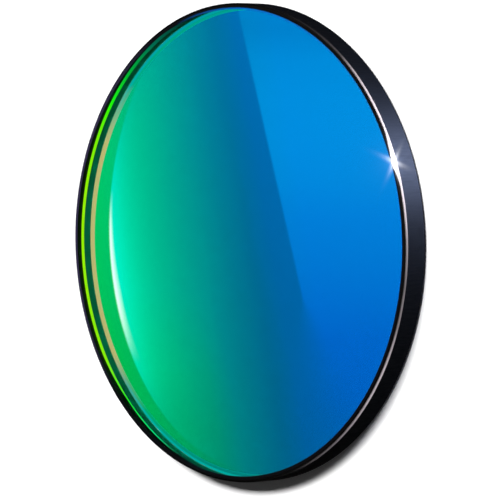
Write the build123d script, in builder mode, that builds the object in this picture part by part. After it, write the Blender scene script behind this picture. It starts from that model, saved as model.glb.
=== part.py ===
from build123d import *
import os

os.makedirs("parts", exist_ok=True)

# An unmounted round bandpass filter. It lies flat on its back face, with its coated face up.
# The origin is the centre of the back face, and Z is the optical axis.

# Sizes that drive the part, in mm
filter_diameter = 50.0  # over the edge lacquer: what the bore of a filter cell sees
glass_thickness = 3.0
front_bevel = 0.3  # leg of the 45 degree bevel round the coated face
back_bevel = 0.3  # leg of the same bevel round the back face
lacquer_thickness = 0.04
lacquer_lap = 0.08  # how far the lacquer runs onto each bevel, measured along the axis

# Places that follow from them
glass_radius = filter_diameter / 2 - lacquer_thickness
land_bottom = back_bevel
land_top = glass_thickness - front_bevel


# The substrate: one round glass plate, ground flat, with both rims bevelled
with BuildPart() as filter_glass:
    Cylinder(
        radius=glass_radius,
        height=glass_thickness,
        align=(Align.CENTER, Align.CENTER, Align.MIN),
    )
    chamfer(filter_glass.edges().group_by(Axis.Z)[0], length=back_bevel)
    chamfer(filter_glass.edges().group_by(Axis.Z)[-1], length=front_bevel)

filter_glass.part.label = "filter_glass"
export_step(filter_glass.part, "parts/filter_glass.step")


# The blackening: a brushed coat of lacquer on the ground edge, rounded where it turns
# onto the two bevels, and made by offsetting the glass profile that it wets
with BuildPart() as edge_lacquer:
    with BuildSketch(Plane.XZ):
        with BuildLine():
            wetted_edge = Polyline(
                (glass_radius - lacquer_lap, land_bottom - lacquer_lap),
                (glass_radius, land_bottom),
                (glass_radius, land_top),
                (glass_radius - lacquer_lap, land_top + lacquer_lap),
            )
            offset(
                wetted_edge,
                amount=lacquer_thickness,
                side=Side.RIGHT,
                kind=Kind.ARC,
                closed=True,
            )
        make_face()
    revolve(axis=Axis.Z)

edge_lacquer.part.label = "edge_lacquer"
export_step(edge_lacquer.part, "parts/edge_lacquer.step")
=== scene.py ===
"""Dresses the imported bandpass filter: a round coated glass disc that lies flat on a pale floor.

The camera looks down on the coated face at the photograph's angle, and is rolled so that
the far side of the disc is at the left of the picture. Everything is in metres, with Z up.
"""

from __future__ import annotations

import logging
import math
from dataclasses import dataclass, field
from enum import Enum
from typing import Any

import bpy
from mathutils import Matrix, Vector

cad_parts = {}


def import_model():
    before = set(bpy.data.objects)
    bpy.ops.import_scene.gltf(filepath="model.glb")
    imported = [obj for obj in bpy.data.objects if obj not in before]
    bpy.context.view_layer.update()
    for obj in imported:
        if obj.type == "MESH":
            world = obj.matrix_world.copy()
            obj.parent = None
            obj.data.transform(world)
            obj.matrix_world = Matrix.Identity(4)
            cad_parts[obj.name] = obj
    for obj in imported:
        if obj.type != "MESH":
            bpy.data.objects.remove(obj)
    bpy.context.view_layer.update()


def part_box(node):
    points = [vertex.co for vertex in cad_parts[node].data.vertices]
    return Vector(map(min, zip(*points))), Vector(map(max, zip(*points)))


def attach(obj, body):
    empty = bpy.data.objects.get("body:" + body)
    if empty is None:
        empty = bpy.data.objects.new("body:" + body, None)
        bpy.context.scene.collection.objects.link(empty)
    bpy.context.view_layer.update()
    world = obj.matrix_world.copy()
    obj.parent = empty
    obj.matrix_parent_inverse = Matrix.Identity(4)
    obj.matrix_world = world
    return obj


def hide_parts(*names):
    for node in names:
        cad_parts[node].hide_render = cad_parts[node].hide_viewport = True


LOG = logging.getLogger("filter")
MM = 0.001
PICTURE_SIDE = 500
DISC_WIDTH = 50.0
Colour = tuple[float, float, float]
Stops = tuple[tuple[float, Colour], ...]
Sockets = list[tuple[str, str, str, Any]]


def srgb(red: int, green: int, blue: int) -> Colour:
    """Turns a colour as a screen shows it, 0 to 255, into linear light.

    Args:
        red: the red level.
        green: the green level.
        blue: the blue level.

    Returns:
        The three channels in linear light.
    """
    def linear(level: int) -> float:
        """Undoes the screen's curve for one channel."""
        share = level / 255
        return share / 12.92 if share <= 0.04045 else ((share + 0.055) / 1.055) ** 2.4
    return linear(red), linear(green), linear(blue)


def opaque(colour: Colour) -> tuple[float, float, float, float]:
    """Adds a full alpha to a colour, as Blender's colour sockets want it."""
    return (*colour, 1.0)


class Zone(Enum):
    """The bands of the disc's surface, from the centre of the front to the centre of the back."""

    FRONT_FACE = 0
    MARGIN = 1
    FRONT_BEVEL = 2
    LAND = 3
    BACK_BEVEL = 4
    BACK_FACE = 5


class Wiring:
    """Adds nodes to one node tree and joins them up."""

    def __init__(self, tree: bpy.types.NodeTree) -> None:
        """Takes the tree that the nodes go into."""
        self.tree = tree

    def add(self, kind: str, inputs: dict[Any, Any] | None = None, **settings: Any) -> bpy.types.Node:
        """Makes one node.

        Args:
            kind: Blender's name for the node type.
            inputs: a socket to join, or a plain value, for each input by name or place.
            **settings: the node's own properties.

        Returns:
            The new node.
        """
        node = self.tree.nodes.new(kind)
        for name, value in settings.items():
            setattr(node, name, value)
        for name, value in (inputs or {}).items():
            if isinstance(value, bpy.types.NodeSocket):
                self.tree.links.new(value, node.inputs[name])
            else:
                node.inputs[name].default_value = value
        return node

    def math(self, operation: str, *values: Any, clamp: bool = False) -> bpy.types.NodeSocket:
        """Works out one number from others.

        Args:
            operation: the Math node's operation.
            *values: sockets or numbers, in the node's order.
            clamp: keeps the result from 0 to 1.

        Returns:
            The socket that gives the result.
        """
        numbers = dict(enumerate(values))
        return self.add("ShaderNodeMath", numbers, operation=operation, use_clamp=clamp).outputs[0]

    def spread(self, value: Any, low: Any, high: Any, start: Any = 0.0, end: Any = 1.0,
               soft: bool = False) -> bpy.types.NodeSocket:
        """Maps a number from one range to another, and keeps it inside.

        Args:
            value: the number to map.
            low: where the range starts.
            high: where it ends.
            start: the result at the start.
            end: the result at the end.
            soft: eases in and out.

        Returns:
            The socket that gives the result.
        """
        return self.add("ShaderNodeMapRange", {0: value, 1: low, 2: high, 3: start, 4: end},
                        interpolation_type="SMOOTHSTEP" if soft else "LINEAR").outputs[0]

    def ramp(self, value: bpy.types.NodeSocket, stops: Stops) -> bpy.types.NodeSocket:
        """Turns a number from 0 to 1 into a colour.

        Args:
            value: the socket with the number.
            stops: the place and the colour of each stop, in order.

        Returns:
            The socket with the colour.
        """
        node = self.add("ShaderNodeValToRGB", {"Fac": value})
        elements = node.color_ramp.elements
        while len(elements) < len(stops):
            elements.new(0.5)
        for element, (place, colour) in zip(elements, stops):
            element.position = place
            element.color = opaque(colour)
        return node.outputs["Color"]

    def mix(self, share: Any, first: Any, second: Any, blend: str = "MIX") -> bpy.types.NodeSocket:
        """Blends two colours.

        Args:
            share: how much of the second colour shows, 0 to 1.
            first: the colour under it, as a socket or a colour with alpha.
            second: the colour over it.
            blend: the Mix node's blend type.

        Returns:
            The socket with the blended colour.
        """
        return self.add("ShaderNodeMix", {0: share, 6: first, 7: second},
                        data_type="RGBA", blend_type=blend).outputs[2]


def new_group(name: str, kind: str, sockets: Sockets) -> bpy.types.NodeTree:
    """Makes an empty node group with named sockets.

    Args:
        name: the group's name.
        kind: the tree type.
        sockets: for each socket its name, INPUT or OUTPUT, its socket type and its value or None.

    Returns:
        The new group.
    """
    group = bpy.data.node_groups.new(name, kind)
    for title, way, socket_type, value in sockets:
        socket = group.interface.new_socket(title, in_out=way, socket_type=socket_type)
        if value is not None:
            socket.default_value = value
    return group


class TurnedBand:
    """The Geometry Nodes group that turns one straight band into a ring of faces."""

    NAME = "turned_band"

    @classmethod
    def group(cls) -> bpy.types.NodeTree:
        """Gives the group, which is made at its first use."""
        if cls.NAME in bpy.data.node_groups:
            return bpy.data.node_groups[cls.NAME]
        group = new_group(cls.NAME, "GeometryNodeTree", [
            ("Facets", "INPUT", "NodeSocketInt", 64),
            ("Upper Radius", "INPUT", "NodeSocketFloat", 0.0),
            ("Lower Radius", "INPUT", "NodeSocketFloat", 0.0),
            ("Foot", "INPUT", "NodeSocketFloat", 0.0),
            ("Rise", "INPUT", "NodeSocketFloat", 0.0),
            ("Zone", "INPUT", "NodeSocketInt", 0),
            ("Geometry", "OUTPUT", "NodeSocketGeometry", None),
        ])
        wiring = Wiring(group)
        given = wiring.add("NodeGroupInput").outputs
        cone = wiring.add("GeometryNodeMeshCone", {
            "Vertices": given["Facets"],
            "Side Segments": 1,
            "Radius Top": given["Upper Radius"],
            "Radius Bottom": given["Lower Radius"],
            "Depth": given["Rise"],
        }, fill_type="NONE")
        lift = wiring.add("ShaderNodeCombineXYZ", {"Z": given["Foot"]})
        placed = wiring.add("GeometryNodeTransform", {
            "Geometry": cone.outputs["Mesh"], "Translation": lift.outputs[0],
        })
        zoned = wiring.add("GeometryNodeStoreNamedAttribute", {
            "Geometry": placed.outputs[0], "Name": "zone", "Value": given["Zone"],
        }, data_type="INT", domain="FACE")
        wiring.add("NodeGroupOutput", {"Geometry": zoned.outputs[0]})
        return group


class Turning:
    """A Geometry Nodes tree that turns a round piece from the bands of its section."""

    WELD = 0.0005 * MM
    SHARP_ANGLE = math.radians(32)

    def __init__(self, name: str, sizes: dict[str, float], facets: int) -> None:
        """Starts a tree with one named input for each size.

        Args:
            name: the piece's name.
            sizes: each size in metres, by the name of its input.
            facets: how many flats make one turn.
        """
        self.name = name
        self.values: dict[str, float | int] = {"Facets": facets, **sizes}
        sockets: Sockets = [("Facets", "INPUT", "NodeSocketInt", facets)]
        sockets += [(title, "INPUT", "NodeSocketFloat", value) for title, value in sizes.items()]
        sockets.append(("Geometry", "OUTPUT", "NodeSocketGeometry", None))
        self.tree = new_group(f"{name}_turning", "GeometryNodeTree", sockets)
        self.wiring = Wiring(self.tree)
        self.given = self.wiring.add("NodeGroupInput").outputs
        self.joined = self.wiring.add("GeometryNodeJoinGeometry")

    def band(self, upper: Any, lower: Any, foot: Any, rise: Any,
             zone: Zone = Zone.FRONT_FACE, inward: bool = False) -> None:
        """Adds one band to the section.

        Args:
            upper: radius at the band's upper edge.
            lower: radius at its lower edge.
            foot: height of its lower edge.
            rise: height from the lower edge to the upper one.
            zone: which finish it takes.
            inward: turns its faces towards the axis.
        """
        node = self.wiring.add("GeometryNodeGroup", node_tree=TurnedBand.group())
        wanted = {"Facets": self.given["Facets"], "Upper Radius": upper, "Lower Radius": lower,
                  "Foot": foot, "Rise": rise, "Zone": zone.value}
        for title, value in wanted.items():
            if isinstance(value, bpy.types.NodeSocket):
                self.tree.links.new(value, node.inputs[title])
            else:
                node.inputs[title].default_value = value
        last = node.outputs["Geometry"]
        if inward:
            last = self.wiring.add("GeometryNodeFlipFaces", {"Mesh": last}).outputs[0]
        self.tree.links.new(last, self.joined.inputs[0])

    def make(self, finishes: dict[Zone, bpy.types.Material]) -> bpy.types.Object:
        """Welds the bands, gives each zone its material, and keeps the result as a plain mesh.

        Args:
            finishes: the material of each zone.

        Returns:
            The finished object, at the origin, riding on the one body.
        """
        wiring = self.wiring
        welded = wiring.add("GeometryNodeMergeByDistance", {
            "Geometry": self.joined.outputs[0], "Distance": self.WELD,
        })
        smooth = wiring.add("GeometryNodeSetShadeSmooth", {
            "Geometry": welded.outputs[0], "Shade Smooth": True,
        }, domain="FACE")
        turn = wiring.add("GeometryNodeInputMeshEdgeAngle").outputs["Unsigned Angle"]
        creased = wiring.add("GeometryNodeSetShadeSmooth", {
            "Geometry": smooth.outputs[0],
            "Shade Smooth": wiring.math("LESS_THAN", turn, self.SHARP_ANGLE),
        }, domain="EDGE")
        last = wiring.add("GeometryNodeRealizeInstances", {"Geometry": creased.outputs[0]}).outputs[0]
        zones = wiring.add("GeometryNodeInputNamedAttribute", {"Name": "zone"}, data_type="INT").outputs[0]
        for zone, finish in finishes.items():
            chosen = wiring.add("FunctionNodeCompare", data_type="INT", operation="EQUAL")
            self.tree.links.new(zones, chosen.inputs[2])
            chosen.inputs[3].default_value = zone.value
            last = wiring.add("GeometryNodeSetMaterial", {
                "Geometry": last, "Selection": chosen.outputs[0], "Material": finish,
            }).outputs[0]
        wiring.add("NodeGroupOutput", {"Geometry": last})

        holder = bpy.data.objects.new(self.name, bpy.data.meshes.new(f"{self.name}_seed"))
        bpy.context.scene.collection.objects.link(holder)
        modifier = holder.modifiers.new("turning", "NODES")
        modifier.node_group = self.tree
        for item in self.tree.interface.items_tree:
            if item.in_out == "INPUT":
                modifier[item.identifier] = self.values[item.name]
        graph = bpy.context.evaluated_depsgraph_get()
        mesh = bpy.data.meshes.new_from_object(holder.evaluated_get(graph))
        holder.modifiers.remove(modifier)
        mesh.name = f"{self.name}_mesh"
        holder.data = mesh
        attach(holder, "root")
        return holder


class Effects:
    """Shader node groups that more than one finish uses."""

    # How the sight fans out over the disc: its foot along X and its distance, in mm, and its tilt per mm
    SIGHT_FROM = 6.62
    SIGHT_FAR = 300.8
    SIGHT_TILT = 0.00185
    # How bright the painted highlight along the near rim is, 0 to 255, from one end of the disc to the other
    # along X
    RIM_HIGHLIGHT_LEVELS = (
        (0.00, 4), (0.03, 20), (0.07, 96), (0.12, 142), (0.18, 186), (0.25, 184), (0.33, 126), (0.41, 106),
        (0.50, 142), (0.585, 220), (0.63, 255), (0.71, 255), (0.75, 236), (0.82, 184), (0.88, 66),
        (0.93, 34), (0.97, 16), (1.00, 4),
    )

    @classmethod
    def disc_place(cls) -> bpy.types.NodeTree:
        """Gives where a point is on the disc, in mm.

        A shift moves the point on along the way that the sight runs through the glass, before
        its radius is taken, so that a ring above the coating can be traced onto it.
        """
        name = "disc_place"
        if name in bpy.data.node_groups:
            return bpy.data.node_groups[name]
        group = new_group(name, "ShaderNodeTree", [
            ("Lean", "INPUT", "NodeSocketFloat", 0.0),
            ("Shift", "INPUT", "NodeSocketFloat", 0.0),
            ("Radius", "OUTPUT", "NodeSocketFloat", None),
            ("Along", "OUTPUT", "NodeSocketFloat", None),
            ("Across", "OUTPUT", "NodeSocketFloat", None),
            ("Height", "OUTPUT", "NodeSocketFloat", None),
        ])
        wiring = Wiring(group)
        given = wiring.add("NodeGroupInput").outputs
        point = wiring.add("ShaderNodeTexCoord").outputs["Object"]
        split = wiring.add("ShaderNodeSeparateXYZ", {"Vector": point}).outputs
        x, y, z = (wiring.math("MULTIPLY", split[axis], 1 / MM) for axis in "XYZ")
        fan_x = wiring.math("MULTIPLY", wiring.math("SUBTRACT", x, cls.SIGHT_FROM), 1 / cls.SIGHT_FAR)
        fan_y = wiring.math("ADD", 1.0, wiring.math("MULTIPLY", y, cls.SIGHT_TILT))
        out_x = wiring.math("ADD", x, wiring.math("MULTIPLY", fan_x, given["Shift"]))
        out_y = wiring.math("ADD", y, wiring.math("MULTIPLY", fan_y, given["Shift"]))
        radius = wiring.math("SQRT", wiring.math("ADD", wiring.math("MULTIPLY", out_x, out_x),
                                                 wiring.math("MULTIPLY", out_y, out_y)))
        along = wiring.math("SUBTRACT", y, wiring.math("MULTIPLY", x, given["Lean"]))
        wiring.add("NodeGroupOutput", {"Radius": radius, "Along": along, "Across": x, "Height": z})
        return group

    @classmethod
    def fine_grain(cls) -> bpy.types.NodeTree:
        """Gives a grain round 0.5 that can be drawn out along the axis."""
        name = "fine_grain"
        if name in bpy.data.node_groups:
            return bpy.data.node_groups[name]
        group = new_group(name, "ShaderNodeTree", [
            ("Grains Per mm", "INPUT", "NodeSocketFloat", 8.0),
            ("Axis Share", "INPUT", "NodeSocketFloat", 1.0),
            ("Detail", "INPUT", "NodeSocketFloat", 3.0),
            ("Grain", "OUTPUT", "NodeSocketFloat", None),
        ])
        wiring = Wiring(group)
        given = wiring.add("NodeGroupInput").outputs
        point = wiring.add("ShaderNodeTexCoord").outputs["Object"]
        stretch = wiring.add("ShaderNodeCombineXYZ", {"X": 1.0, "Y": 1.0, "Z": given["Axis Share"]})
        drawn = wiring.add("ShaderNodeVectorMath", {0: point, 1: stretch.outputs[0]}, operation="MULTIPLY")
        noise = wiring.add("ShaderNodeTexNoise", {
            "Vector": drawn.outputs[0],
            "Scale": wiring.math("MULTIPLY", given["Grains Per mm"], 1 / MM),
            "Detail": given["Detail"],
            "Roughness": 0.6,
        })
        wiring.add("NodeGroupOutput", {"Grain": noise.outputs[0]})
        return group

    @classmethod
    def rim_light(cls) -> bpy.types.NodeTree:
        """Gives how bright the painted highlight on the near rim's outer line is at each place round it."""
        name = "rim_light"
        if name in bpy.data.node_groups:
            return bpy.data.node_groups[name]
        group = new_group(name, "ShaderNodeTree", [("Light", "OUTPUT", "NodeSocketColor", None)])
        wiring = Wiring(group)
        place = wiring.add("ShaderNodeGroup", node_tree=cls.disc_place()).outputs
        turn = wiring.math("ADD", wiring.math("MULTIPLY", place["Across"], 1 / DISC_WIDTH), 0.5)
        light = wiring.ramp(turn, tuple((at, srgb(level, int(level * 0.95), int(level * 0.98)))
                                        for at, level in cls.RIM_HIGHLIGHT_LEVELS))
        near = wiring.spread(place["Along"], 1.0, -3.0)
        wiring.add("NodeGroupOutput", {"Light": wiring.mix(near, opaque((0.0, 0.0, 0.0)), light)})
        return group


@dataclass(frozen=True)
class Finish:
    """A surface finish, with the constants that its Principled shader takes as they are."""

    name: str
    roughness: float = 0.5
    metallic: float = 0.0
    ior: float = 1.5
    specular: float = 0.5
    coat: float = 0.0
    coat_roughness: float = 0.05

    def start(self) -> tuple[bpy.types.Material, Wiring, bpy.types.Node]:
        """Makes the material, its wiring and its shader, joined to the output."""
        material = bpy.data.materials.new(self.name)
        material.use_nodes = True
        material.node_tree.nodes.clear()
        wiring = Wiring(material.node_tree)
        shader = wiring.add("ShaderNodeBsdfPrincipled", {
            "Roughness": self.roughness, "Metallic": self.metallic, "IOR": self.ior,
            "Specular IOR Level": self.specular, "Coat Weight": self.coat,
            "Coat Roughness": self.coat_roughness,
        })
        wiring.add("ShaderNodeOutputMaterial", {"Surface": shader.outputs[0]})
        return material, wiring, shader

    @staticmethod
    def place(wiring: Wiring, lean: float = 0.0, shift: float = 0.0) -> bpy.types.bpy_prop_collection:
        """Places the shared disc_place group and gives its outputs."""
        node = wiring.add("ShaderNodeGroup", node_tree=Effects.disc_place())
        node.inputs["Lean"].default_value = lean
        node.inputs["Shift"].default_value = shift
        return node.outputs

    @staticmethod
    def grain(wiring: Wiring, per_mm: float, axis_share: float = 1.0,
              detail: float = 3.0) -> bpy.types.NodeSocket:
        """Places the shared fine_grain group.

        Args:
            wiring: the material's wiring.
            per_mm: how many grains go in a millimetre.
            axis_share: under 1 draws the grain out along the axis.
            detail: how many finer layers it has.

        Returns:
            The socket with the grain's value.
        """
        node = wiring.add("ShaderNodeGroup", node_tree=Effects.fine_grain())
        node.inputs["Grains Per mm"].default_value = per_mm
        node.inputs["Axis Share"].default_value = axis_share
        node.inputs["Detail"].default_value = detail
        return node.outputs["Grain"]

    @staticmethod
    def rim_light(wiring: Wiring) -> bpy.types.NodeSocket:
        """Places the shared group of the painted rim highlight and gives its colour."""
        return wiring.add("ShaderNodeGroup", node_tree=Effects.rim_light()).outputs["Light"]

    @staticmethod
    def relief(wiring: Wiring, shader: bpy.types.Node, height: bpy.types.NodeSocket,
               depth: float, strength: float = 1.0) -> None:
        """Raises a surface by a grain.

        Args:
            wiring: the material's wiring.
            shader: the Principled shader.
            height: the grain.
            depth: its height in metres.
            strength: how much of it shows.
        """
        bump = wiring.add("ShaderNodeBump", {"Strength": strength, "Distance": depth, "Height": height})
        wiring.tree.links.new(bump.outputs[0], shader.inputs["Normal"])


@dataclass(frozen=True)
class ClearFront(Finish):
    """The polished front surface, with a film that leaves it almost no mirroring of its own."""

    film: Colour = (0.0, 0.0, 0.0)
    body: Colour = (0.985, 1.0, 0.992)
    body_thin: Colour = (0.97, 0.985, 0.98)

    def material(self) -> bpy.types.Material:
        """Builds the glass."""
        material, wiring, shader = self.start()
        shader.inputs["Transmission Weight"].default_value = 1.0
        shader.inputs["Specular Tint"].default_value = opaque(self.film)
        cloud = self.grain(wiring, 0.12, detail=1.0)
        tone = wiring.mix(cloud, opaque(self.body), opaque(self.body_thin))
        wiring.tree.links.new(tone, shader.inputs["Base Color"])
        return material


@dataclass(frozen=True)
class BackCoating(Finish):
    """The interference coating: it mirrors green, through teal, to blue across the disc."""

    lean: float = 0.2157
    drift: Stops = (
        (0.05, (0.012, 0.60, 0.13)),
        (0.14, (0.012, 0.55, 0.175)),
        (0.24, (0.006, 0.445, 0.205)),
        (0.33, (0.0, 0.345, 0.25)),
        (0.40, (0.0, 0.265, 0.275)),
        (0.46, (0.0, 0.205, 0.295)),
        (0.525, (0.0, 0.155, 0.315)),
        (0.59, (0.0, 0.14, 0.40)),
        (0.70, (0.0, 0.14, 0.45)),
    )
    # How bright the coating is in the middle, and how much brighter each mm further along X: painted light
    # and shade, lighter towards +X and darker towards -X
    level: float = 0.97
    fall: float = 0.0075
    # Where the green loses some blue: over which stretch along X, and over which share of the drift
    corner_tone: Colour = (1.0, 1.0, 0.74)
    corner_across: tuple[float, float] = (-5.0, -14.0)
    corner_run: tuple[float, float] = (0.40, 0.33)
    margin_reflection_tone: Colour = (0.85, 0.87, 0.85)
    edge_reflection_tone: Colour = (0.0, 0.26, 0.12)
    # In mm: how far the sight runs between the coating and the surface that it mirrors, and the
    # radius at which the margin's mirror image, and then the edge's, starts and is full. Where these
    # images fall the coating takes painted reflection tones: a near-white mirror for the margin's image,
    # and a partly matte teal for the edge's
    margin_reflection_shift: float = 1.354
    margin_reflection_radius: tuple[float, float] = (24.31, 24.35)
    edge_reflection_shift: float = 1.219
    edge_reflection_radius: tuple[float, float] = (24.84, 24.92)
    edge_reflection_matte: float = 0.6

    def material(self) -> bpy.types.Material:
        """Builds the coating."""
        material, wiring, shader = self.start()
        place = self.place(wiring, self.lean)
        cloud = self.grain(wiring, 0.1, detail=2.0)
        wander = wiring.math("SUBTRACT", cloud, 0.5)
        shifted = wiring.math("SUBTRACT", wander, place["Along"])
        run = wiring.math("ADD", wiring.math("MULTIPLY", shifted, 1 / DISC_WIDTH), 0.5, clamp=True)
        margin_reflection = wiring.spread(self.place(wiring, shift=self.margin_reflection_shift)["Radius"], *self.margin_reflection_radius)
        edge_reflection = wiring.spread(self.place(wiring, shift=self.edge_reflection_shift)["Radius"], *self.edge_reflection_radius)
        # Painted light and shade: the coating's colour brightens towards +X
        level = wiring.math("ADD", self.level, wiring.math("MULTIPLY", place["Across"], self.fall))
        drift = wiring.add("ShaderNodeVectorMath", {0: wiring.ramp(run, self.drift), "Scale": level},
                           operation="SCALE").outputs[0]
        corner = wiring.math("MULTIPLY", wiring.spread(place["Across"], *self.corner_across),
                             wiring.spread(run, *self.corner_run))
        drift = wiring.mix(corner, drift, opaque(self.corner_tone), "MULTIPLY")
        # Painted reflection tones where the mirror images of the margin and of the edge fall on the coating
        colour = wiring.mix(margin_reflection, drift, opaque(self.margin_reflection_tone))
        colour = wiring.mix(edge_reflection, colour, opaque(self.edge_reflection_tone))
        wiring.tree.links.new(colour, shader.inputs["Base Color"])
        wiring.tree.links.new(wiring.math("SUBTRACT", 1.0, wiring.math("MULTIPLY", edge_reflection, self.edge_reflection_matte)),
                              shader.inputs["Metallic"])
        return material


@dataclass(frozen=True)
class PaintedInsideGlow:
    """Painted glow: an emission that stands in for the light a ground surface passes into the glass, and
    shows only from inside.
    """

    stops: Stops
    strength: float = 1.0

    def apply(self, wiring: Wiring, shader: bpy.types.Node, across: bpy.types.NodeSocket,
              shown: bpy.types.NodeSocket | None = None) -> None:
        """Joins the glow to a shader.

        Args:
            wiring: the material's wiring.
            shader: the Principled shader.
            across: the place along the X axis in mm.
            shown: how much of the glow isn't covered, 0 to 1.
        """
        turn = wiring.math("ADD", wiring.math("MULTIPLY", across, 1 / DISC_WIDTH), 0.5)
        inside = wiring.add("ShaderNodeNewGeometry").outputs["Backfacing"]
        if shown is not None:
            inside = wiring.math("MULTIPLY", inside, shown)
        wiring.tree.links.new(wiring.mix(inside, opaque((0.0, 0.0, 0.0)), wiring.ramp(turn, self.stops)),
                              shader.inputs["Emission Color"])
        shader.inputs["Emission Strength"].default_value = self.strength


# Painted glows that the black margin, the front bevel and the back bevel show towards the inside, along X
MARGIN_GLOW = PaintedInsideGlow((
    (0.00, (0.0, 0.24, 0.24)),
    (0.06, (0.0, 0.34, 0.22)),
    (0.14, (0.0, 0.48, 0.18)),
    (0.20, (0.10, 0.50, 0.22)),
    (0.26, (0.58, 0.54, 0.20)),
    (0.72, (0.60, 0.56, 0.21)),
    (0.78, (0.20, 0.55, 0.30)),
    (0.84, (0.0, 0.48, 0.28)),
    (0.95, (0.0, 0.42, 0.30)),
    (1.00, (0.0, 0.38, 0.32)),
))
TAN_GLOW = PaintedInsideGlow((
    (0.06, (0.0, 0.45, 0.40)),
    (0.14, (0.0, 0.50, 0.40)),
    (0.19, (0.08, 0.45, 0.35)),
    (0.26, (0.58, 0.54, 0.20)),
    (0.72, (0.60, 0.56, 0.21)),
    (0.78, (0.20, 0.55, 0.32)),
    (0.84, (0.0, 0.48, 0.42)),
    (0.95, (0.0, 0.40, 0.45)),
))
GREEN_GLOW = PaintedInsideGlow((
    (0.05, (0.0, 0.05, 0.03)),
    (0.09, (0.0, 0.75, 0.20)),
    (0.16, (0.01, 0.95, 0.02)),
    (0.25, (0.24, 0.86, 0.0)),
    (0.40, (0.30, 0.86, 0.0)),
    (0.60, (0.31, 0.87, 0.0)),
    (0.72, (0.20, 0.86, 0.0)),
    (0.80, (0.01, 0.90, 0.0)),
    (0.86, (0.0, 0.45, 0.03)),
    (0.92, (0.0, 0.15, 0.08)),
    (0.97, (0.0, 0.02, 0.02)),
))


@dataclass(frozen=True)
class BlackMargin(Finish):
    """The black ring round the clear face, with the coating's narrow bright edge inside it and a painted
    sheen on its far side.
    """

    black: Colour = (0.003, 0.003, 0.004)
    # Painted sheen: towards the far side the ring's colour turns from black to this dim purple
    sheen: Colour = (0.028, 0.022, 0.055)
    offset: float = 0.09
    edge_radii: tuple[float, float] = (24.38, 24.46)
    sheen_tilt: float = 0.2
    sheen_along: tuple[float, float] = (16.0, 23.0)
    fringe_along: tuple[float, float] = (8.0, -2.0)
    fringe: Stops = (
        (0.0, srgb(6, 96, 180)),
        (0.25, srgb(16, 122, 195)),
        (0.5, srgb(3, 104, 204)),
        (0.75, srgb(7, 110, 211)),
        (0.88, srgb(10, 96, 203)),
        (0.94, srgb(12, 107, 178)),
        (1.0, srgb(18, 142, 133)),
    )
    glow: PaintedInsideGlow = MARGIN_GLOW

    def material(self) -> bpy.types.Material:
        """Builds the ring."""
        material, wiring, shader = self.start()
        place = self.place(wiring)
        # Painted sheen on the far side of the ring, along a line tilted across X
        tilted = wiring.math("ADD", place["Along"], wiring.math("MULTIPLY", place["Across"], self.sheen_tilt))
        far = wiring.spread(tilted, *self.sheen_along)
        dark = wiring.mix(far, opaque(self.black), opaque(self.sheen))
        turn = wiring.math("ADD", wiring.math("MULTIPLY", place["Across"], -1 / DISC_WIDTH), 0.5)
        near = wiring.spread(place["Along"], *self.fringe_along)
        bright = wiring.mix(near, dark, wiring.ramp(turn, self.fringe))
        lean = wiring.math("DIVIDE", wiring.math("MULTIPLY", place["Across"], self.offset), place["Radius"])
        centred = wiring.math("SUBTRACT", place["Radius"], lean)
        step = wiring.spread(centred, *self.edge_radii)
        colour = wiring.mix(step, bright, dark)
        speck = self.grain(wiring, 9.0)
        colour = wiring.mix(wiring.math("MULTIPLY", speck, 0.25), colour, opaque(self.black))
        wiring.tree.links.new(colour, shader.inputs["Base Color"])
        self.relief(wiring, shader, speck, 0.0008 * MM, 0.5)
        self.glow.apply(wiring, shader, place["Across"])
        return material


@dataclass(frozen=True)
class GroundBevel(Finish):
    """A bevel ground with fine grit, with a painted highlight along its outer edge."""

    dark: Colour = (0.004, 0.004, 0.004)
    painted_highlight: bool = True
    covered: bool = False
    # From and to which radius, in mm, the painted highlight fades in across the bevel
    start_radius: float = 24.77
    end_radius: float = 24.87
    # Where the painted highlight widens, along X, how far from there it starts and is full, and by how much
    spot_across: float = 8.4
    spot_reach: tuple[float, float] = (3.0, 0.8)
    spot_width: float = 0.12
    # Where the lacquer runs further over the bevel: from and to along X, and the radius that it leaves free
    cover_across: tuple[float, float] = (-11.0, -17.0)
    cover_radius: tuple[float, float] = (24.99, 24.76)
    cover_blur: float = 0.02
    glow: PaintedInsideGlow = TAN_GLOW

    def material(self) -> bpy.types.Material:
        """Builds the ground surface."""
        material, wiring, shader = self.start()
        place = self.place(wiring)
        off = wiring.math("ABSOLUTE", wiring.math("SUBTRACT", place["Across"], self.spot_across))
        spot = wiring.spread(off, *self.spot_reach, 0.0, self.spot_width, soft=True)
        out = wiring.spread(wiring.math("ADD", place["Radius"], spot), self.start_radius, self.end_radius,
                            soft=True)
        # The painted rim highlight, where the bevel has it
        line = self.rim_light(wiring) if self.painted_highlight else opaque(self.dark)
        colour = wiring.mix(out, opaque(self.dark), line)
        grit = self.grain(wiring, 14.0)
        colour = wiring.mix(wiring.math("MULTIPLY", grit, 0.3), colour, opaque((0.0, 0.0, 0.0)))
        wiring.tree.links.new(colour, shader.inputs["Base Color"])
        wiring.tree.links.new(wiring.spread(grit, 0.3, 0.7, self.roughness - 0.04, self.roughness + 0.06),
                              shader.inputs["Roughness"])
        self.relief(wiring, shader, grit, 0.002 * MM, 0.4)
        shown = None
        if self.covered:
            limit = wiring.spread(place["Across"], *self.cover_across, *self.cover_radius)
            free = wiring.math("SUBTRACT", limit, place["Radius"])
            shown = wiring.spread(free, -self.cover_blur, self.cover_blur)
        self.glow.apply(wiring, shader, place["Across"], shown)
        return material


@dataclass(frozen=True)
class BlackLand(Finish):
    """The ground edge of the glass where the lacquer wets it, as seen through the glass."""

    low: Colour = (0.0, 0.003, 0.002)
    high: Colour = (0.004, 0.008, 0.008)

    def material(self) -> bpy.types.Material:
        """Builds the wetted edge."""
        material, wiring, shader = self.start()
        blotch = self.grain(wiring, 2.0)
        colour = wiring.mix(blotch, opaque(self.low), opaque(self.high))
        wiring.tree.links.new(colour, shader.inputs["Base Color"])
        self.relief(wiring, shader, blotch, 0.002 * MM, 0.4)
        return material


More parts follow.
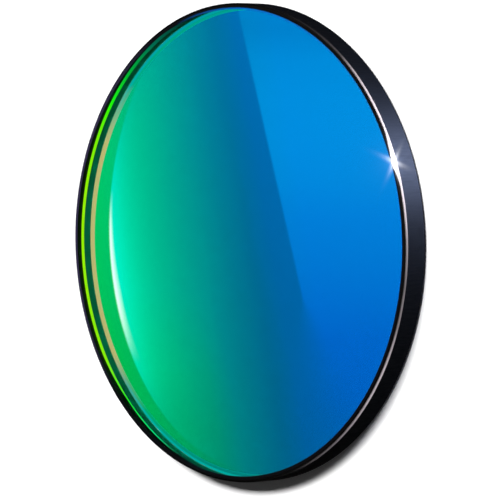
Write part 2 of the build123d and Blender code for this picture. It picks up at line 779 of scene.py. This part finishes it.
@dataclass(frozen=True)
class EdgeLacquer(Finish):
    """Satin black lacquer, brushed on across the edge, with the painted rim highlight on its upper lip."""

    low: Colour = (0.001, 0.001, 0.001)
    high: Colour = (0.004, 0.004, 0.006)
    drawn: float = 0.83
    # Height in mm from which the lacquer's upper lip takes the painted rim highlight
    lip_highlight_from: float = 2.705

    def material(self) -> bpy.types.Material:
        """Builds the lacquer."""
        material, wiring, shader = self.start()
        strokes = self.grain(wiring, 5.0, axis_share=0.12, detail=4.0)
        contrast = wiring.spread(strokes, 0.35, 0.7)
        blotch = self.grain(wiring, 0.25, detail=2.0)
        share = wiring.math("MULTIPLY", contrast, wiring.spread(blotch, 0.3, 0.7, 0.4, 1.0))
        colour = wiring.mix(share, opaque(self.low), opaque(self.high))
        # Painted highlight: the lacquer's upper lip takes the rim highlight's colour
        lip = wiring.spread(self.place(wiring)["Height"], self.lip_highlight_from, self.lip_highlight_from + 0.03, soft=True)
        colour = wiring.mix(lip, colour, self.rim_light(wiring))
        wiring.tree.links.new(colour, shader.inputs["Base Color"])
        wiring.tree.links.new(wiring.spread(strokes, 0.3, 0.7, self.roughness + 0.1, self.roughness - 0.08),
                              shader.inputs["Roughness"])
        self.relief(wiring, shader, strokes, 0.004 * MM, 0.5)
        shader.inputs["Anisotropic"].default_value = self.drawn
        axis = wiring.add("ShaderNodeCombineXYZ", {"Z": 1.0})
        wiring.tree.links.new(axis.outputs[0], shader.inputs["Tangent"])
        return material


@dataclass
class CoatedDisc:
    """The round glass plate with its coating, black margin and two ground bevels."""

    radius: float
    thickness: float
    bevel: float = 0.3 * MM
    margin: float = 0.32 * MM
    facets: int = 256
    front: ClearFront = ClearFront("clear_front", roughness=0.0, ior=1.75, specular=0.3)
    coating: BackCoating = BackCoating("back_coating", roughness=0.0, metallic=1.0)
    ring: BlackMargin = BlackMargin("black_margin", roughness=0.3, specular=0.08)
    front_bevel: GroundBevel = GroundBevel("front_bevel_ground", roughness=0.3, specular=0.0, coat=0.6,
                                           coat_roughness=0.08)
    back_bevel: GroundBevel = GroundBevel("back_bevel_ground", roughness=0.5, specular=0.1, painted_highlight=False,
                                          covered=True, glow=GREEN_GLOW)
    land: BlackLand = BlackLand("black_land", roughness=0.6, specular=0.05)

    def turn(self) -> Turning:
        """Lays out the section of the disc, band by band."""
        turning = Turning("coated_disc", {
            "Glass Radius": self.radius,
            "Thickness": self.thickness,
            "Bevel": self.bevel,
            "Margin": self.margin,
        }, self.facets)
        given, sum_of = turning.given, turning.wiring.math
        radius, thickness, bevel = given["Glass Radius"], given["Thickness"], given["Bevel"]
        face = sum_of("SUBTRACT", radius, bevel)
        clear = sum_of("SUBTRACT", face, given["Margin"])
        shoulder = sum_of("SUBTRACT", thickness, bevel)
        turning.band(0.0, clear, thickness, 0.0, Zone.FRONT_FACE)
        turning.band(clear, face, thickness, 0.0, Zone.MARGIN)
        turning.band(face, radius, shoulder, bevel, Zone.FRONT_BEVEL)
        turning.band(radius, radius, bevel, sum_of("SUBTRACT", shoulder, bevel), Zone.LAND)
        turning.band(radius, face, 0.0, bevel, Zone.BACK_BEVEL)
        turning.band(face, 0.0, 0.0, 0.0, Zone.BACK_FACE)
        return turning

    def build(self) -> bpy.types.Object:
        """Builds and dresses the disc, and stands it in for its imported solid."""
        disc = self.turn().make({
            Zone.FRONT_FACE: self.front.material(),
            Zone.MARGIN: self.ring.material(),
            Zone.FRONT_BEVEL: self.front_bevel.material(),
            Zone.LAND: self.land.material(),
            Zone.BACK_BEVEL: self.back_bevel.material(),
            Zone.BACK_FACE: self.coating.material(),
        })
        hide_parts("filter_glass")
        return disc


@dataclass
class LacquerRing:
    """The brushed black coat on the ground edge, which laps a little onto both bevels."""

    glass_radius: float
    thickness: float
    coat: float
    bevel: float = 0.3 * MM
    lap: float = 0.08 * MM
    skin: float = 0.004 * MM
    corner_steps: int = 3
    facets: int = 256
    finish: EdgeLacquer = EdgeLacquer("edge_lacquer_black", roughness=0.62, specular=0.25)

    def turn(self) -> Turning:
        """Lays out the section of the coat, from its upper lip round its outside to its lower lip."""
        turning = Turning("black_edge_coat", {
            "Glass Radius": self.glass_radius,
            "Thickness": self.thickness,
            "Coat": self.coat,
            "Bevel": self.bevel,
            "Lap": self.lap,
            "Skin": self.skin,
        }, self.facets)
        given, sum_of = turning.given, turning.wiring.math
        radius, coat, skin = given["Glass Radius"], given["Coat"], given["Skin"]
        land_low = given["Bevel"]
        land_high = sum_of("SUBTRACT", given["Thickness"], given["Bevel"])
        slant = math.sqrt(0.5)

        def corner(offset: Any, share: float) -> tuple[Any, Any]:
            """Gives how far out and up a point on the upper corner lies, at a share of 45 degrees."""
            angle = math.radians(45 * share)
            return sum_of("MULTIPLY", offset, math.cos(angle)), sum_of("MULTIPLY", offset, math.sin(angle))

        def upper(out: Any, up: Any, lapped: bool) -> tuple[Any, Any]:
            """Gives the radius and the height above the land's top of one point of the upper half."""
            place = sum_of("ADD", radius, out)
            if lapped:
                place, up = sum_of("SUBTRACT", place, given["Lap"]), sum_of("ADD", up, given["Lap"])
            return place, up

        outside = [upper(*corner(coat, step / self.corner_steps), False)
                   for step in range(self.corner_steps + 1)]
        outside.append(upper(sum_of("MULTIPLY", coat, slant), sum_of("MULTIPLY", coat, slant), True))
        inside = [upper(skin, 0.0, False),
                  upper(sum_of("MULTIPLY", skin, slant), sum_of("MULTIPLY", skin, slant), True)]

        def pair(low: tuple[Any, Any], high: tuple[Any, Any], inward: bool) -> None:
            """Adds a band above the land and its mirror image below it."""
            rise = sum_of("SUBTRACT", high[1], low[1])
            turning.band(high[0], low[0], sum_of("ADD", land_high, low[1]), rise, inward=inward)
            turning.band(low[0], high[0], sum_of("SUBTRACT", land_low, high[1]), rise, inward=inward)

        for low, high in zip(outside, outside[1:]):
            pair(low, high, False)
        pair(inside[0], inside[1], True)
        pair(inside[1], outside[-1], False)
        wall = sum_of("SUBTRACT", land_high, land_low)
        turning.band(outside[0][0], outside[0][0], land_low, wall)
        turning.band(inside[0][0], inside[0][0], land_low, wall, inward=True)
        return turning

    def build(self) -> bpy.types.Object:
        """Builds and dresses the coat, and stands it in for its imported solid."""
        ring = self.turn().make({Zone.FRONT_FACE: self.finish.material()})
        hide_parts("edge_lacquer")
        return ring


@dataclass
class Viewpoint:
    """The photograph's camera, fitted to the disc's outline."""

    place: Vector = field(default_factory=lambda: Vector((6.62, -300.79, 291.74)) * MM)
    sight: Vector = field(default_factory=lambda: Vector((-0.0177, 0.7183, -0.6955)).normalized())
    lens: float = 288.0
    sensor: float = 36.0

    @property
    def right(self) -> Vector:
        """The picture's right, which lies towards the near side of the disc."""
        return self.sight.cross(self.up).normalized()

    @property
    def up(self) -> Vector:
        """The picture's top, level with the floor."""
        return self.sight.cross(Vector((0, 1, 0))).normalized()

    def ray(self, across: float, down: float) -> Vector:
        """Gives the direction of sight through one place in the picture.

        Args:
            across: pixels from the picture's left side.
            down: pixels from its top.

        Returns:
            The direction, of length one.
        """
        scale = self.sensor / self.lens / PICTURE_SIDE
        half = PICTURE_SIDE / 2
        return (self.sight + self.right * ((across - half) * scale)
                + self.up * ((half - down) * scale)).normalized()

    def build(self) -> bpy.types.Object:
        """Makes the camera and gives it to the scene."""
        data = bpy.data.cameras.new("camera")
        data.lens, data.sensor_width, data.sensor_fit = self.lens, self.sensor, "HORIZONTAL"
        data.clip_start, data.clip_end = 0.01, 20.0
        camera = bpy.data.objects.new("camera", data)
        bpy.context.scene.collection.objects.link(camera)
        turn = Matrix((self.right, self.up, -self.sight)).transposed().to_4x4()
        camera.matrix_world = Matrix.Translation(self.place) @ turn
        bpy.context.scene.camera = camera
        return camera


@dataclass
class MirroredCard:
    """A glowing card that shows only as a reflection in the disc.

    Its map runs over the picture, so that each shape on it is placed where its reflection shows.
    """

    name: str
    viewpoint: Viewpoint
    mirror_height: float
    distance: float = 0.36
    # Pixels in the photograph: the straight edge of the reflected window at the right
    window_top: tuple[float, float] = (238.0, 10.0)
    window_lean: float = 0.2237
    window_blur_from: float = 300.0
    window_levels: Stops = (
        (0.06, (0.0, 0.45, 0.25)),
        (0.12, (0.0, 0.72, 0.45)),
        (0.20, (0.0, 0.85, 0.57)),
        (0.28, (0.0, 0.88, 0.64)),
        (0.36, (0.0, 0.80, 0.64)),
        (0.44, (0.0, 0.57, 0.62)),
        (0.52, (0.0, 0.45, 0.58)),
        (0.60, (0.0, 0.27, 0.56)),
        (0.68, (0.0, 0.07, 0.50)),
        (0.80, (0.0, 0.03, 0.45)),
        (0.92, (0.0, 0.08, 0.20)),
    )
    # Pixels in the photograph: the rim of the round reflected lamp at the left
    lamp_centre: tuple[float, float] = (257.0, 226.7)
    lamp_half: tuple[float, float] = (147.2, 242.8)
    lamp_end: tuple[float, float] = (200.0, 250.0)
    # Pixels in the photograph: how far the lamp's two lights reach in from its rim, the row where they
    # are full and the rows over which they fall off, and the rows where its lower end starts to dim
    wide_reach: float = 30.0
    narrow_reach: float = 10.0
    belt_row: float = 290.0
    belt_rows: float = 125.0
    foot_rows: tuple[float, float] = (430.0, 370.0)
    # Pixels in the photograph: the rows where the lamp's white core starts, is full, ends and is gone,
    # and the rows over which it widens, and from and to which width
    core_rows: tuple[float, float, float, float] = (188.0, 235.0, 300.0, 364.0)
    core_widening: tuple[float, float] = (205.0, 290.0)
    core_widths: tuple[float, float] = (2.6, 6.5)
    wide_light: Colour = (0.0, 0.85, 2.2)
    narrow_light: Colour = (0.0, 0.0, 2.6)
    core_light: Colour = (72.0, 0.5, 2.2)

    def corner(self, across: float, down: float) -> Vector:
        """Gives the point on the card that shows at one place in the picture."""
        start = self.viewpoint.place.copy()
        start.z = 2 * self.mirror_height - start.z
        ray, axis = self.viewpoint.ray(across, down), self.viewpoint.sight.copy()
        ray.z, axis.z = -ray.z, -axis.z
        reach = self.distance + self.viewpoint.place.length
        return start + ray * (reach / ray.dot(axis))

    def picture_place(self, wiring: Wiring) -> tuple[bpy.types.NodeSocket, bpy.types.NodeSocket]:
        """Gives the pixels across and down of the point that is shaded."""
        place = wiring.add("ShaderNodeUVMap", uv_map="picture").outputs[0]
        split = wiring.add("ShaderNodeSeparateXYZ", {"Vector": place}).outputs
        across, down = (wiring.math("MULTIPLY", split[axis], PICTURE_SIDE) for axis in "XY")
        return across, down

    def window(self, wiring: Wiring, across: Any, down: Any) -> bpy.types.NodeSocket:
        """Draws the window, which has one straight edge and fades towards its foot."""
        line = wiring.math("ADD", wiring.math("MULTIPLY", down, self.window_lean),
                           self.window_top[0] - self.window_top[1] * self.window_lean)
        past = wiring.math("SUBTRACT", across, line)
        blur = wiring.math("ADD", wiring.math("MAXIMUM", wiring.math(
            "SUBTRACT", down, self.window_blur_from), 0.0), 3.0)
        inside = wiring.spread(wiring.math("DIVIDE", past, blur), -0.5, 0.5, soft=True)
        height = wiring.ramp(wiring.math("MULTIPLY", down, 1 / PICTURE_SIDE), self.window_levels)
        return wiring.mix(inside, opaque((0, 0, 0)), height)

    def depth(self, wiring: Wiring, across: Any, down: Any) -> bpy.types.NodeSocket:
        """Gives how far inside the round lamp's rim a point is, in pixels."""
        far_x = wiring.math("DIVIDE", wiring.math("SUBTRACT", across, self.lamp_centre[0]), self.lamp_half[0])
        far_y = wiring.math("DIVIDE", wiring.math("SUBTRACT", down, self.lamp_centre[1]), self.lamp_half[1])
        place = wiring.math("SQRT", wiring.math(
            "ADD", wiring.math("MULTIPLY", far_x, far_x), wiring.math("MULTIPLY", far_y, far_y)))
        return wiring.math("MULTIPLY", wiring.math("SUBTRACT", 1.0, place), self.lamp_half[0])

    def core(self, wiring: Wiring, depth: Any, across: Any, down: Any) -> bpy.types.NodeSocket:
        """Gives the strength of the lamp's narrow white core."""
        low, full, last, gone = self.core_rows
        rows = wiring.math("MULTIPLY", wiring.spread(down, low, full, soft=True),
                           wiring.spread(down, gone, last, soft=True))
        width = wiring.spread(down, *self.core_widening, *self.core_widths)
        inner = wiring.spread(wiring.math("DIVIDE", depth, width), 1.0, 0.3)
        left = wiring.math("MULTIPLY", wiring.spread(depth, -0.8, 0.8),
                           wiring.spread(across, self.lamp_end[1], self.lamp_end[0]))
        return wiring.math("MULTIPLY", wiring.math("MULTIPLY", inner, rows), left)

    def lamp(self, wiring: Wiring, across: Any, down: Any) -> bpy.types.NodeSocket:
        """Draws the round lamp, which is brightest at its rim."""
        depth = self.depth(wiring, across, down)
        lit = wiring.math("MULTIPLY", wiring.spread(depth, -0.8, 0.8),
                          wiring.spread(across, self.lamp_end[1], self.lamp_end[0], soft=True))

        def fall(reach: float) -> bpy.types.NodeSocket:
            """Gives a light that fades over a reach in pixels from the lamp's rim."""
            inward = wiring.math("MULTIPLY", wiring.math("MAXIMUM", depth, 0.0), -1.0)
            return wiring.math("POWER", math.e, wiring.math("DIVIDE", inward, reach))

        def light(share: Any, colour: Colour) -> bpy.types.NodeSocket:
            """Gives a share of one colour of light."""
            return wiring.mix(share, opaque((0, 0, 0)), opaque(colour))

        off = wiring.math("DIVIDE", wiring.math("SUBTRACT", down, self.belt_row), self.belt_rows)
        belt = wiring.math("POWER", math.e, wiring.math("MULTIPLY", wiring.math("MULTIPLY", off, off), -1.0))
        foot = wiring.spread(down, *self.foot_rows, 0.4, 1.0)
        belt = wiring.math("MULTIPLY", wiring.math("MULTIPLY", belt, lit), foot)
        wide = light(wiring.math("MULTIPLY", fall(self.wide_reach), belt), self.wide_light)
        narrow = light(wiring.math("MULTIPLY", fall(self.narrow_reach), belt), self.narrow_light)
        core = light(self.core(wiring, depth, across, down), self.core_light)
        return wiring.mix(1.0, wiring.mix(1.0, wide, narrow, "ADD"), core, "ADD")

    def glow(self, wiring: Wiring) -> bpy.types.NodeSocket:
        """Draws what the card shows, and gives its colour."""
        across, down = self.picture_place(wiring)
        return wiring.mix(1.0, self.window(wiring, across, down), self.lamp(wiring, across, down), "ADD")

    def build(self) -> bpy.types.Object:
        """Makes the card, clear wherever it doesn't glow."""
        corners = [(0, 0), (PICTURE_SIDE, 0), (PICTURE_SIDE, PICTURE_SIDE), (0, PICTURE_SIDE)]
        mesh = bpy.data.meshes.new(self.name)
        mesh.from_pydata([self.corner(*corner) for corner in corners], [], [(0, 1, 2, 3)])
        picture = mesh.uv_layers.new(name="picture")
        for loop, corner in zip(mesh.loops, corners):
            picture.data[loop.index].uv = (corner[0] / PICTURE_SIDE, corner[1] / PICTURE_SIDE)
        card = bpy.data.objects.new(self.name, mesh)
        bpy.context.scene.collection.objects.link(card)
        material = bpy.data.materials.new(f"{self.name}_glow")
        material.use_nodes = True
        material.node_tree.nodes.clear()
        wiring = Wiring(material.node_tree)
        through = wiring.add("ShaderNodeLightPath").outputs["Transmission Depth"]
        light = wiring.add("ShaderNodeEmission", {
            "Color": self.glow(wiring), "Strength": wiring.math("GREATER_THAN", through, 0.5),
        })
        clear = wiring.add("ShaderNodeBsdfTransparent")
        both = wiring.add("ShaderNodeAddShader", {0: light.outputs[0], 1: clear.outputs[0]})
        wiring.add("ShaderNodeOutputMaterial", {"Surface": both.outputs[0]})
        mesh.materials.append(material)
        card.visible_camera = card.visible_diffuse = card.visible_shadow = False
        return card


@dataclass
class Studio:
    """The pale floor, the soft light round it and the two small lamps that catch the rim."""

    viewpoint: Viewpoint
    disc: bpy.types.Object
    ring: bpy.types.Object
    floor_side: float = 6.0
    floor_drop: float = 0.02 * MM
    floor_tone: Colour = (0.93, 0.93, 0.93)
    # From and to which distance the floor turns into a glowing cove, which keeps it pale to the horizon
    cove: tuple[float, float] = (0.12, 0.50)
    air_light: float = 0.05
    air_through: Colour = (0.0, 1.0, 1.0)
    air_mirrored: Colour = (0.02, 0.02, 0.02)
    key_from: Vector = field(default_factory=lambda: Vector((0.48, -0.17, 1.0)).normalized())
    key_power: float = 12.5
    key_distance: float = 0.9
    key_size: tuple[float, float] = (0.5, 0.2)
    glint_from: Vector = field(default_factory=lambda: Vector((0.445, -0.611, 0.655)).normalized())
    glint_power: float = 8.0
    glint_size: tuple[float, float] = (0.02, 0.02)
    edge_from: Vector = field(default_factory=lambda: Vector((0.512, -0.848, 0.139)).normalized())
    edge_power: float = 17.0
    edge_size: tuple[float, float] = (0.12, 0.12)
    small_distance: float = 0.5
    edge_tint: Colour = (0.48, 0.60, 1.0)
    glare_from: float = 6.0
    haze_tint: Colour = (0.5, 0.62, 1.0)
    star_turn: float = math.radians(-24)

    def floor(self) -> bpy.types.Object:
        """Lays the floor just under the disc."""
        half = self.floor_side / 2
        mesh = bpy.data.meshes.new("floor")
        corners = [(-half, -half), (half, -half), (half, half), (-half, half)]
        mesh.from_pydata([(x, y, -self.floor_drop) for x, y in corners], [], [(0, 1, 2, 3)])
        floor = bpy.data.objects.new("floor", mesh)
        bpy.context.scene.collection.objects.link(floor)
        material = bpy.data.materials.new("floor_matte")
        material.use_nodes = True
        shader = material.node_tree.nodes["Principled BSDF"]
        shader.inputs["Base Color"].default_value = opaque(self.floor_tone)
        shader.inputs["Roughness"].default_value = 0.9
        shader.inputs["Specular IOR Level"].default_value = 0.0
        wiring = Wiring(material.node_tree)
        place = wiring.add("ShaderNodeTexCoord").outputs["Object"]
        out = wiring.add("ShaderNodeVectorMath", {0: place}, operation="LENGTH").outputs["Value"]
        cove = wiring.mix(wiring.spread(out, *self.cove), opaque((0.0, 0.0, 0.0)), opaque((1.0, 1.0, 1.0)))
        material.node_tree.links.new(cove, shader.inputs["Emission Color"])
        shader.inputs["Emission Strength"].default_value = 1.0
        mesh.materials.append(material)
        floor.visible_glossy = False
        return floor

    def air(self) -> None:
        """Fills the room with even light: cool through the glass, and dark in the black parts' gloss."""
        world = bpy.data.worlds.new("soft_room")
        world.use_nodes = True
        world.node_tree.nodes.clear()
        wiring = Wiring(world.node_tree)
        path = wiring.add("ShaderNodeLightPath").outputs
        white = opaque((1.0, 1.0, 1.0))
        soft = wiring.add("ShaderNodeBackground", {"Color": white, "Strength": self.air_light})
        seen = wiring.add("ShaderNodeBackground", {"Color": white, "Strength": 1.0})
        through = wiring.math("GREATER_THAN", path["Transmission Depth"], 0.5)
        tone = wiring.mix(through, opaque(self.air_mirrored), opaque(self.air_through))
        mirrored = wiring.add("ShaderNodeBackground", {"Color": tone, "Strength": 1.0})
        bright = wiring.math("MAXIMUM", path["Is Camera Ray"], path["Is Transmission Ray"])
        last = soft.outputs[0]
        for share, air in ((bright, seen), (path["Is Glossy Ray"], mirrored)):
            last = wiring.add("ShaderNodeMixShader", {0: share, 1: last, 2: air.outputs[0]}).outputs[0]
        wiring.add("ShaderNodeOutputWorld", {"Surface": last})
        bpy.context.scene.world = world

    def lamp(self, name: str, way: Vector, distance: float, size: tuple[float, float],
             power: float) -> bpy.types.Object:
        """Hangs one soft lamp that faces the disc.

        Args:
            name: the lamp's name.
            way: the direction from the disc to the lamp.
            distance: how far away it hangs.
            size: its side along Y and its other side.
            power: its power in watts.

        Returns:
            The lamp.
        """
        data = bpy.data.lights.new(name, "AREA")
        data.shape, data.energy = "RECTANGLE", power
        data.size, data.size_y = size
        lamp = bpy.data.objects.new(name, data)
        bpy.context.scene.collection.objects.link(lamp)
        along = (Vector((0, 1, 0)) - way * way.y).normalized()
        turn = Matrix((along, way.cross(along), way)).transposed().to_4x4()
        lamp.matrix_world = Matrix.Translation(way * distance) @ turn
        return lamp

    def aim(self, lamp: bpy.types.Object, piece: bpy.types.Object) -> None:
        """Lets a lamp light the gloss of one piece only, and only from outside the glass.

        Args:
            lamp: the lamp.
            piece: the piece that it lights.
        """
        lit = bpy.data.collections.new(f"{lamp.name}_lights")
        lit.objects.link(piece)
        lamp.light_linking.receiver_collection = lit
        lamp.visible_diffuse = False
        lamp.data.use_nodes = True
        lamp.data.node_tree.nodes.clear()
        wiring = Wiring(lamp.data.node_tree)
        through = wiring.add("ShaderNodeLightPath").outputs["Transmission Depth"]
        light = wiring.add("ShaderNodeEmission", {"Strength": wiring.math("LESS_THAN", through, 0.5)})
        wiring.add("ShaderNodeOutputLight", {"Surface": light.outputs[0]})

    def build(self) -> None:
        """Sets up the floor, the lights and the picture's own processing."""
        self.floor()
        self.air()
        key = self.lamp("key_lamp", self.key_from, self.key_distance, self.key_size, self.key_power)
        key.visible_glossy = False
        near = self.small_distance
        glint = self.lamp("glint_lamp", self.glint_from, near, self.glint_size, self.glint_power)
        self.aim(glint, self.disc)
        edge = self.lamp("edge_lamp", self.edge_from, near, self.edge_size, self.edge_power)
        edge.data.color = self.edge_tint
        self.aim(edge, self.ring)
        MirroredCard("light_card", self.viewpoint, mirror_height=1.69 * MM).build()
        bpy.context.scene.view_settings.view_transform = "Standard"
        self.sparkle()

    def sparkle(self) -> None:
        """Gives the one blown highlight its star and its haze, as a lens would."""
        scene = bpy.context.scene
        scene.use_nodes = True
        tree = scene.node_tree
        tree.nodes.clear()
        wiring = Wiring(tree)
        seen = wiring.add("CompositorNodeRLayers").outputs["Image"]
        haze = wiring.add("CompositorNodeGlare", {
            "Image": seen, "Threshold": self.glare_from, "Strength": 1.0, "Size": 0.35,
            "Tint": opaque(self.haze_tint),
        }, glare_type="BLOOM")
        star = wiring.add("CompositorNodeGlare", {
            "Image": haze.outputs["Image"], "Threshold": self.glare_from, "Strength": 0.5, "Streaks": 4,
            "Streaks Angle": self.star_turn, "Iterations": 3, "Fade": 0.8, "Color Modulation": 0.0,
        }, glare_type="STREAKS", quality="HIGH")
        wiring.add("CompositorNodeComposite", {"Image": star.outputs["Image"]})


def clear_radius(node: str) -> float:
    """Gives the radius that a round node's box holds all the way round."""
    low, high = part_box(node)
    return min(-low[0], -low[1], high[0], high[1])


def main() -> None:
    """Builds the disc, its black edge and the studio, and logs the face counts of the disc and the edge."""
    logging.basicConfig(level=logging.INFO, format="%(name)s: %(message)s")
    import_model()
    glass_radius = clear_radius("filter_glass")
    glass_low, glass_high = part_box("filter_glass")
    thickness = glass_high[2] - glass_low[2]

    disc = CoatedDisc(radius=glass_radius, thickness=thickness).build()
    LOG.info("coated disc: %d faces", len(disc.data.polygons))
    ring = LacquerRing(glass_radius=glass_radius, thickness=thickness,
                       coat=clear_radius("edge_lacquer") - glass_radius).build()
    LOG.info("black edge coat: %d faces", len(ring.data.polygons))
    viewpoint = Viewpoint()
    viewpoint.build()
    Studio(viewpoint, disc, ring).build()


if __name__ == "__main__":
    main()
